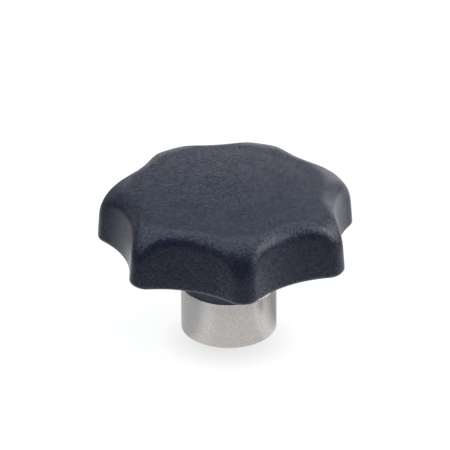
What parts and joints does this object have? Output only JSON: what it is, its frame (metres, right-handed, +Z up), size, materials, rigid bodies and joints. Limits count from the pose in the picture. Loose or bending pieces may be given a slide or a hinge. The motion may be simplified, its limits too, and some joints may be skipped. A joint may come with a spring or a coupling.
{
  "type": "lobed hand knob",
  "caption": "Star-shaped hand knob with a crowned plastic head, ribbed underside and a steel bush with a blind threaded hole.",
  "frame": {"origin": "centre of the bush's lower end face, on the axis of the threaded hole", "axes": "+Z up along the knob's axis, from the bush to the crowned top; one lobe points along -Y"},
  "size_m": [0.0616, 0.0602, 0.0379],
  "materials": {
    "head_plastic": "glass-fibre filled polyamide in black-grey with a fine moulded grain",
    "bush_steel": "stainless steel, fine turned and satin"
  },
  "bodies": {
    "root": {"star_head": "head_plastic", "threaded_bush": "bush_steel"}
  },
  "joints": []
}
